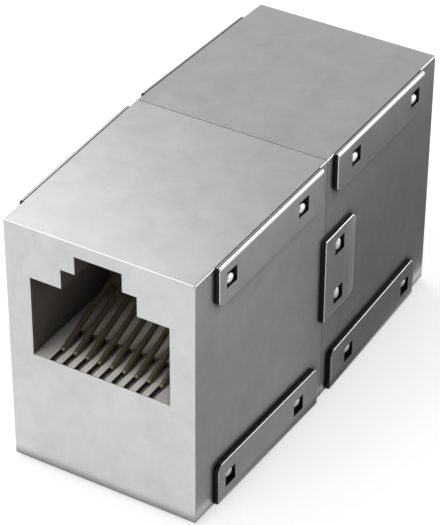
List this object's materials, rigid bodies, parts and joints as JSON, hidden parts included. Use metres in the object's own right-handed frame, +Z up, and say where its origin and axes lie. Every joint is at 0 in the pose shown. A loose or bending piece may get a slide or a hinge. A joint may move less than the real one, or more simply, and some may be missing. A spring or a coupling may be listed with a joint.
{
  "type": "rj45 inline coupler",
  "caption": "Shielded inline coupler joining two network leads: two flared sheet-metal shells laced by snap tabs, a modular-jack port in each end, bent wire contacts, link board inside.",
  "frame": {"origin": "midway along the coupler, under the middle of its lowest line, which is the bottom edge of the seam", "axes": "+Y along the coupler from the front port to the rear port, +X across it to the right seen from the front port, +Z up towards the latch notches"},
  "size_m": [0.0174, 0.0366, 0.0221],
  "materials": {
    "shell": "satin nickel plate",
    "housing": "fine moulded grey",
    "carrier": "moulded dark grey",
    "contact": "thinly gilded bronze wire",
    "board": "green solder mask on glass laminate",
    "solder": "reflowed tin"
  },
  "bodies": {
    "root": {"front_shell": "shell", "rear_shell": "shell", "front_socket_housing": "housing", "rear_socket_housing": "housing", "front_contact_carrier": "carrier", "rear_contact_carrier": "carrier", "link_board": "board", "front_contact_solder": "solder", "rear_contact_solder": "solder", "front_contact_1": "contact", "front_contact_2": "contact", "front_contact_3": "contact", "front_contact_4": "contact", "front_contact_5": "contact", "front_contact_6": "contact", "front_contact_7": "contact", "front_contact_8": "contact", "front_contact_9": "contact", "rear_contact_1": "contact", "rear_contact_2": "contact", "rear_contact_3": "contact", "rear_contact_4": "contact", "rear_contact_5": "contact", "rear_contact_6": "contact", "rear_contact_7": "contact", "rear_contact_8": "contact", "rear_contact_9": "contact"}
  },
  "joints": []
}
